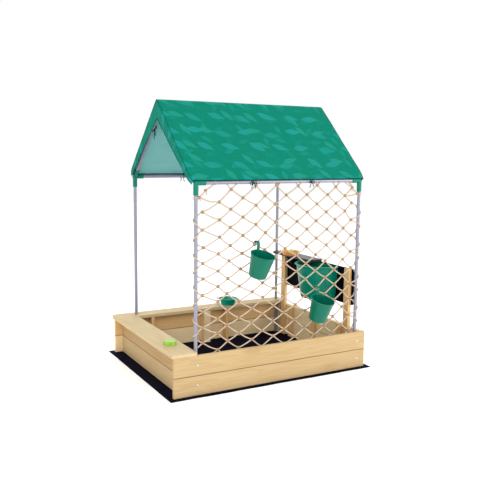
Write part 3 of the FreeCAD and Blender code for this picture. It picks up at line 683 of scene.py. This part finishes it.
def bow(cords, knot, outward, along, seed, size):
    """A tied bow: two loops, two tails and a small lumpy knot."""
    rng = random.Random(seed)

    def at(a, b, c):
        return knot + (along * a - Z * b + outward * c) * size

    for hand in (-1, 1):
        reach = 0.017 + rng.uniform(-0.003, 0.003)
        droop = 0.006 + rng.uniform(-0.003, 0.004)
        cords.sweep(curve_points([at(0, 0, 0.001), at(hand * reach * 0.6, -0.006, 0.004),
                                  at(hand * reach, droop * 0.3, 0.005),
                                  at(hand * reach * 0.7, droop, 0.003),
                                  at(0, 0.001, 0.001)], 6), TIE_R, 8, TIE_LOBES, TIE_LAY)
        tail = 0.020 + rng.uniform(0, 0.010)
        cords.sweep(curve_points([at(0, 0, 0.001), at(hand * 0.006, 0.010, 0.003),
                                  at(hand * 0.011, tail, 0.002)], 6), TIE_R, 8, TIE_LOBES, TIE_LAY)
    for tilt in (-0.5, 0.6):
        loop = []
        for n in range(12):
            angle = 2 * math.pi * n / 12
            loop.append(at(0.0028 * math.cos(angle) + 0.001 * tilt, 0.003 * math.sin(angle),
                           0.001 + 0.002 * tilt * math.cos(angle)))
        cords.sweep(loop, TIE_R, 8, closed=True)


def wrap(cords, middle, axis, radius, thickness, turns=1.0, pitch=0.004, lobes=0.12):
    """Cord wound round a tube: a short helix about the given axis."""
    axis = axis.normalized()
    first = axis.orthogonal().normalized()
    second = axis.cross(first)
    steps = int(WRAP_STEPS * turns)
    points = []
    for n in range(steps + 1):
        angle = 2 * math.pi * turns * n / steps
        lift = (n / steps - 0.5) * pitch * turns
        points.append(middle + axis * lift
                      + (first * math.cos(angle) + second * math.sin(angle)) * (radius + thickness))
    cords.sweep(points, thickness, 8, lobes, WRAP_LAY)


def build_ties():
    """Cord ties of the cover: two on each eave tube and one on each rafter."""
    cords = Tubes()
    for sign in (-1, 1):
        for n, x in enumerate(TIE_XS):
            spot = Vector((x, sign * POLE_Y, EAVE_Z))
            wrap(cords, spot, X, TUBE_R, WRAP_R, TIE_TURNS)
            knot = spot + Vector((0, sign * (TUBE_R + 0.004), -0.004))
            bow(cords, knot, sign * Y, X, 11 + n + 5 * sign, EAVE_BOW)
        for end, x in POLE_X.items():
            inside = 1 if end == "left" else -1
            up = Vector((0, -sign * math.cos(SLOPE), math.sin(SLOPE)))
            spot = Vector((x, sign * POLE_Y, EAVE_Z)) + up * RUN * GABLE_TIE_AT
            wrap(cords, spot, up, TUBE_R, WRAP_R, TIE_TURNS)
            knot = spot + Vector((inside * (TUBE_R + 0.003), 0, -0.003))
            bow(cords, knot, inside * X, up, 31 + inside + 3 * sign, GABLE_BOW)
    ties = cords.make("roof_tie_cords", TIE_CORD)
    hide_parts("roof_ties")
    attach(ties, ROOT)


# ---------------------------------------------------------------- rope net
ROPE_R = 0.0034
ROPE_SIDES = 12
ROPE_LOBES = 0.13
ROPE_LAY = 0.013
NET_JITTER = 0.005
NET_LEFT = -4                  # columns and rows of knots are counted from the left bucket's knot
NET_RIGHT = 10
NET_ROWS_UP = 6
NET_ROWS_DOWN = 14
HOOK_KNOTS = ((0, 0), (KNOT_STEPS, -KNOT_STEPS))
HOOK_KNOT_SIZE = 0.7
HOOK_KNOT_SHIFT = Vector((0, 0.001, 0.0015))
NEAR_HOOK = 0.12               # knots this close to a hook's knot keep nearer to their places
CALM = 0.35
KNOT_LOOPS = 4
KNOT_POINTS = 12
KNOT_WIDE = 0.0062
KNOT_TALL = 0.0046
KNOT_DEEP = 0.001
KNOT_SPREAD = 0.0012
COLUMNS = {-4: -0.307, -3: -0.212, -2: -0.150, -1: -0.078, 1: 0.056, 2: 0.120, 3: 0.184,
           7: 0.452, 8: 0.513, 9: 0.572, 10: 0.626}     # the rest keep to the mesh size
ROW_UP = 0.0505                # height of a row above the left bucket, mid net
ROW_UP_LEFT = 0.0440
ROW_UP_RIGHT = 0.0475
ROW_DOWN_LEFT = 0.041          # and below it, at the left pole
DRIFT = 0.018                  # how far the left columns lean, low down
DRIFT_REACH = 2.2              # in columns
LIFT = 0.014                   # how far the rope beside the buckets is drawn up
HEM_Z = NET_LOW[2] - 0.016
HEM_CLEAR = 0.004              # knots lower than this above the hem are left out
COIL_R = TUBE_R + ROPE_R
HEM_STEPS = 48
EAVE_MARGIN = 0.012            # net ends keep this far from the sockets
TOP_SLACK = 0.03
LASH_FIRST = 0.052
LASH_STEP = 0.128
LASH_R = 0.0016
LASH_LEAN = 0.25
LASH_CLEAR = 0.020             # from a roof tie
COIL_STEPS = 10
COIL_FROM = 0.06               # the share of a turn at which the rope meets the pole
COIL_LEAD = 0.016              # and how far below its knot
STRAND_SLACK = 0.05
STRAND_STEP = 0.008
CORNER_SOCKETS = {-1: "connector_front_left", 1: "connector_front_right"}
LOW_KNOT = (0.016, -0.006, -0.010)     # from the pole inward, along Y, and from the sleeve's end
HIGH_KNOT = (0.052, -0.003, 0.024)
CORNER_START = 0.098
CORNER_ROPE = ROPE_R * 0.8


def knot_place(i, j):
    """Place of one knot; the two that carry buckets stay where the hooks hang."""
    share = min(1.0, max(0.0, (i - NET_LEFT) / (KNOT_STEPS - NET_LEFT)))
    if j > 0:
        row = ROW_UP_LEFT + (ROW_UP - ROW_UP_LEFT) * min(1.0, (i - NET_LEFT) / 3.5)
        row -= (ROW_UP - ROW_UP_RIGHT) * max(0.0, i - 5) / 5
    else:
        row = ROW_DOWN_LEFT + (MESH_Z - ROW_DOWN_LEFT) * share
    drift = DRIFT * min(1.0, max(0, -j) / 3) * math.exp(-((i + 1) / DRIFT_REACH) ** 2)
    holds_bucket = (i, j) in HOOK_KNOTS
    rise = j * row
    if not holds_bucket:
        rise += LIFT * min(1.0, max(0, i + 1) / 3) * (1 - min(1.0, max(0, j) / NET_ROWS_UP))
    spot = KNOT_LEFT + Vector((COLUMNS.get(i, i * MESH_X) - drift, 0, rise))
    if holds_bucket:
        return spot + HOOK_KNOT_SHIFT
    near = min((spot - KNOT_LEFT).length, (spot - KNOT_RIGHT).length)
    rng = random.Random(i * 131 + j * 17 + 5)
    free = CALM if near < NEAR_HOOK else 1.0
    shift = Vector((rng.uniform(-1, 1), 0.25 * rng.uniform(-0.2, 1), rng.uniform(-1, 1)))
    return spot + shift * NET_JITTER * free


def add_knot(knots, spot, seed, size=1.0):
    """A pulled overhand knot: small loops wound over each other."""
    rng = random.Random(seed)
    for n in range(KNOT_LOOPS):
        turn = Matrix.Rotation(rng.uniform(-0.5, 0.5) + n * 0.8, 3, "Y") @ \
            Matrix.Rotation(rng.uniform(0.4, 1.1), 3, "X")
        off = Vector((rng.uniform(-1, 1), rng.uniform(-1, 1), rng.uniform(-1, 1)))
        middle = spot + off * KNOT_SPREAD
        loop = []
        for k in range(KNOT_POINTS):
            angle = 2 * math.pi * k / KNOT_POINTS
            ring = Vector((KNOT_WIDE * math.cos(angle), KNOT_TALL * math.sin(angle),
                           KNOT_DEEP * math.sin(2 * angle)))
            loop.append(middle + turn @ ring * size)
        knots.sweep(loop, ROPE_R * size, 8, closed=True)


def strand(ropes, a, b, seed, slack=STRAND_SLACK):
    """One rope between two knots, hanging a little."""
    rng = random.Random(seed)
    length = (b - a).length
    hang = Vector((0, rng.uniform(0, 0.3), -1)) * length * slack * rng.uniform(0.2, 1.0)
    middle = (a + b) / 2 + hang
    points = curve_points([a, middle, b], max(4, int(length / STRAND_STEP)))
    ropes.sweep(points, ROPE_R, ROPE_SIDES, ROPE_LOBES, ROPE_LAY)


def edge_loop(ropes, upper, lower, pole_x, outward, behind):
    """Rope from one edge knot once round the pole to the next edge knot below it."""
    turn = 1 if behind else -1
    points = [upper]
    for n in range(COIL_STEPS + 1):
        angle = 2 * math.pi * (COIL_FROM + (1 - 2 * COIL_FROM) * n / COIL_STEPS)
        z = upper.z - COIL_LEAD + (lower.z - upper.z + 2 * COIL_LEAD) * n / COIL_STEPS
        points.append(Vector((pole_x - outward * COIL_R * math.cos(angle),
                              -POLE_Y + turn * COIL_R * math.sin(angle), z)))
    points.append(lower)
    ropes.sweep(curve_points(points, 3), ROPE_R, ROPE_SIDES, ROPE_LOBES, ROPE_LAY)


def build_net():
    """The knotted net, lashed to the eave tube above and round both front poles."""
    ropes, knots, lashes = Tubes(), Tubes(), Tubes()
    spots = {}
    for j in range(-NET_ROWS_DOWN, NET_ROWS_UP + 1):
        for i in range(NET_LEFT, NET_RIGHT + 1):
            if (i + j) % 2 == 0:
                spots[i, j] = knot_place(i, j)
    del spots[NET_LEFT, NET_ROWS_UP]
    for (i, j), spot in spots.items():
        if spot.z < HEM_Z + HEM_CLEAR:
            continue
        add_knot(knots, spot, i * 7 + j * 3, HOOK_KNOT_SIZE if (i, j) in HOOK_KNOTS else 1.0)
        for step in (-1, 1):
            other = spots.get((i + step, j - 1))
            if other is None:
                continue
            if other.z < HEM_Z:
                other = spot.lerp(other, (spot.z - HEM_Z) / (spot.z - other.z))
            strand(ropes, spot, other, i * 97 + j * 13 + step)
    eave_x = (side("connector_front_left", 0, True), side("connector_front_right", 0, False))
    top = EAVE_Z - TUBE_R
    for i in range(NET_LEFT, NET_RIGHT + 1):
        spot = spots.get((i, NET_ROWS_UP)) or spots.get((i, NET_ROWS_UP - 1))
        if spot is None:
            continue
        reach = (top - spot.z) / ROW_UP * MESH_X * 0.8
        for step in (-1, 1):
            if (i, NET_ROWS_UP) in spots or not NET_LEFT <= i + step <= NET_RIGHT:
                x = min(max(spot.x + step * reach, eave_x[0] + EAVE_MARGIN), eave_x[1] - EAVE_MARGIN)
                strand(ropes, spot, Vector((x, -POLE_Y, top)), i * 5 + step, TOP_SLACK)
    for n in range(int((eave_x[1] - eave_x[0]) / LASH_STEP)):
        x = eave_x[0] + LASH_FIRST + n * LASH_STEP
        if min(abs(x - tie) for tie in TIE_XS) > LASH_CLEAR:
            axis = Vector((1, 0, LASH_LEAN * (-1) ** n))
            wrap(lashes, Vector((x, -POLE_Y, EAVE_Z)), axis, TUBE_R, LASH_R, 1.0, 0.006, 0.1)
    for column, pole_x, outward in ((NET_LEFT, POLE_X["left"], -1), (NET_RIGHT, POLE_X["right"], 1)):
        sleeve_end = side(CORNER_SOCKETS[outward], 2, False)
        edge = [spot for (i, _), spot in spots.items()
                if i == column and WALL_TOP < spot.z < sleeve_end - 0.01]
        edge.sort(key=lambda spot: -spot.z)
        for n, (upper, lower) in enumerate(zip(edge, edge[1:])):
            edge_loop(lashes, upper, lower, pole_x, outward, n % 2 == 0)
        last = edge[-1]
        strand(ropes, last, Vector((pole_x - outward * TUBE_R, -POLE_Y + 0.002, last.z - 0.022)), 3)
        low_knot, high_knot = (Vector((pole_x - outward * a, -POLE_Y + b, sleeve_end + c))
                               for a, b, c in (LOW_KNOT, HIGH_KNOT))
        start = Vector((pole_x - outward * CORNER_START, -POLE_Y, top))
        strand(ropes, start, high_knot, 5, TOP_SLACK)
        strand(ropes, high_knot, low_knot, 6)
        inner = [spot for spot in spots.values() if spot.z < low_knot.z + 0.01
                 and 0.09 < abs(spot.x - pole_x) < 0.22]
        inner = min(inner, key=lambda spot: (low_knot - spot).length)
        strand(ropes, low_knot, inner, 7, 0.22)
        wrap(lashes, Vector((pole_x, -POLE_Y, low_knot.z - 0.004)), Vector((0, 0.1, 1)), TUBE_R,
             CORNER_ROPE, 1.0, 0.008)
        for spot, size in ((low_knot, 1.0), (high_knot, 0.9)):
            add_knot(knots, spot, int(spot.z * 1000), size)
            tail = [spot, spot + Vector((-outward * 0.003, -0.004, -0.010)),
                    spot + Vector((-outward * 0.002, -0.005, -0.022))]
            ropes.sweep(curve_points(tail, 4), CORNER_ROPE, 10, ROPE_LOBES, ROPE_LAY)
    inside = (POLE_X["left"] + TUBE_R + 0.01, POLE_X["right"] - TUBE_R - 0.01)
    hem = [Vector((inside[0] + (inside[1] - inside[0]) * n / HEM_STEPS, KNOT_LEFT.y,
                   HEM_Z + 0.002 * math.sin(n * 1.3))) for n in range(HEM_STEPS + 1)]
    ropes.sweep(hem, ROPE_R, ROPE_SIDES, ROPE_LOBES, ROPE_LAY)
    net = ropes.make("rope_net", ROPE)
    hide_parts("net")
    knot_piece = knots.make("rope_knots", KNOT_ROPE)
    lash_piece = lashes.make("rope_lashing", ROPE)
    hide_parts("net_lashing")
    for piece in (net, knot_piece, lash_piece):
        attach(piece, ROOT)


# ---------------------------------------------------------------- ground sheet
SHEET_STEP = 0.015
SHEET_THICK = 0.0012
MARGIN_WAVE = 0.0034
INNER_WAVE = 0.0026
EDGE_WEAR = 0.0016


def build_ground_sheet():
    """The membrane: flat under the walls, with low waves inside the box and round it."""
    low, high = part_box("ground_sheet")
    wide = int((high[0] - low[0]) / SHEET_STEP)
    deep = int((high[1] - low[1]) / SHEET_STEP)
    wall_x = (side("wall_left_lower", 0, False), side("wall_front_lower", 0, True))
    wall_y = (side("wall_front_lower", 1, False), side("wall_back_lower", 1, True))
    verts, faces = [], []
    for m in range(deep + 1):
        for n in range(wide + 1):
            x = low[0] + (high[0] - low[0]) * n / wide
            y = low[1] + (high[1] - low[1]) * m / deep
            outside = max(wall_x[0] - x, x - wall_x[1], wall_y[0] - y, y - wall_y[1])
            within = min(x - wall_x[0], wall_x[1] - x, y - wall_y[0], wall_y[1] - y)
            wave = noise.noise(Vector((x * 9, y * 9, 0.3)))
            free = min(1.0, max(0.0, outside - 0.002) / 0.03) if outside > 0 else \
                min(1.0, max(0.0, within - 0.04) / 0.06)
            lift = (MARGIN_WAVE if outside > 0 else INNER_WAVE) * max(0.0, wave) * free
            edge = 1 - EDGE_WEAR * abs(noise.noise(Vector((x * 14, y * 14, 5.0))))
            verts.append((x * edge, y * edge, SHEET_THICK + lift))
    for m in range(deep):
        for n in range(wide):
            a = m * (wide + 1) + n
            faces.append((a, a + 1, a + wide + 2, a + wide + 1))
    cloth = mesh_object("ground_cloth", verts, faces, [MEMBRANE])
    shell = cloth.modifiers.new("thickness", "SOLIDIFY")
    shell.thickness = SHEET_THICK
    shell.offset = -1
    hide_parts("ground_sheet")
    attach(cloth, ROOT)


# ---------------------------------------------------------------- floor, light and camera
FLOOR_HALF = 12.0
FLOOR_Z = -0.0005
FLOOR_GLOW = 0.24
LAMPS = (("key", (-3.2, -3.6, 3.0), 2.6, 76.0), ("fill", (3.4, -3.8, 2.0), 2.4, 95.0),
         ("rim", (1.5, 4.0, 3.5), 3.0, 60.0))           # name, place, size, power
LAMP_AIM = Vector((0, 0, 0.6))
CAMERA_SPOT = Vector((-1.8923, -3.4895, 1.2396))
CAMERA_YAW = 0.502
CAMERA_PITCH = 0.1293
CAMERA_ROLL = 0.0099
CAMERA_LENS = 50.9


def build_stage():
    """Pale floor, white surroundings and three soft lamps."""
    signs = ((-1, -1), (1, -1), (1, 1), (-1, 1))
    corners = [(x * FLOOR_HALF, y * FLOOR_HALF, FLOOR_Z) for x, y in signs]
    floor = mesh_object("floor", corners, [(0, 1, 2, 3)], [], False)
    t = Tree("pale_floor", Roughness=0.7, Specular_IOR_Level=0.2,
             Emission_Color=(1, 1, 1), Emission_Strength=FLOOR_GLOW)
    t.colour(t.mix(t.noise(t.place(), 2.0), (0.87, 0.87, 0.87), (0.89, 0.89, 0.89)))
    floor.data.materials.append(t.mat)
    world = bpy.data.worlds.new("studio")
    bpy.context.scene.world = world
    world.use_nodes = True
    sky = world.node_tree.nodes["Background"].inputs
    sky["Color"].default_value = (1, 1, 1, 1)
    sky["Strength"].default_value = 1.0
    for name, spot, size, power in LAMPS:
        data = bpy.data.lights.new(name, "AREA")
        data.size = size
        data.energy = power
        lamp = bpy.data.objects.new(name, data)
        lamp.location = spot
        lamp.rotation_euler = (LAMP_AIM - Vector(spot)).to_track_quat("-Z", "Y").to_euler()
        bpy.context.scene.collection.objects.link(lamp)


def build_camera():
    """Camera at the front left, a little higher than the eaves."""
    forward = Vector((math.sin(CAMERA_YAW) * math.cos(CAMERA_PITCH),
                      math.cos(CAMERA_YAW) * math.cos(CAMERA_PITCH), -math.sin(CAMERA_PITCH)))
    level = Vector((math.cos(CAMERA_YAW), -math.sin(CAMERA_YAW), 0))
    upright = level.cross(forward)
    right = level * math.cos(CAMERA_ROLL) + upright * math.sin(CAMERA_ROLL)
    up = upright * math.cos(CAMERA_ROLL) - level * math.sin(CAMERA_ROLL)
    data = bpy.data.cameras.new("camera")
    data.lens = CAMERA_LENS
    data.sensor_width = 36.0
    camera = bpy.data.objects.new("camera", data)
    bpy.context.scene.collection.objects.link(camera)
    turn = Matrix((right, up, -forward)).transposed().to_4x4()
    camera.matrix_world = Matrix.Translation(CAMERA_SPOT) @ turn
    bpy.context.scene.camera = camera


build_roof()
build_ties()
build_net()
build_ground_sheet()
build_stage()
build_camera()
bpy.context.scene.view_settings.view_transform = "Standard"
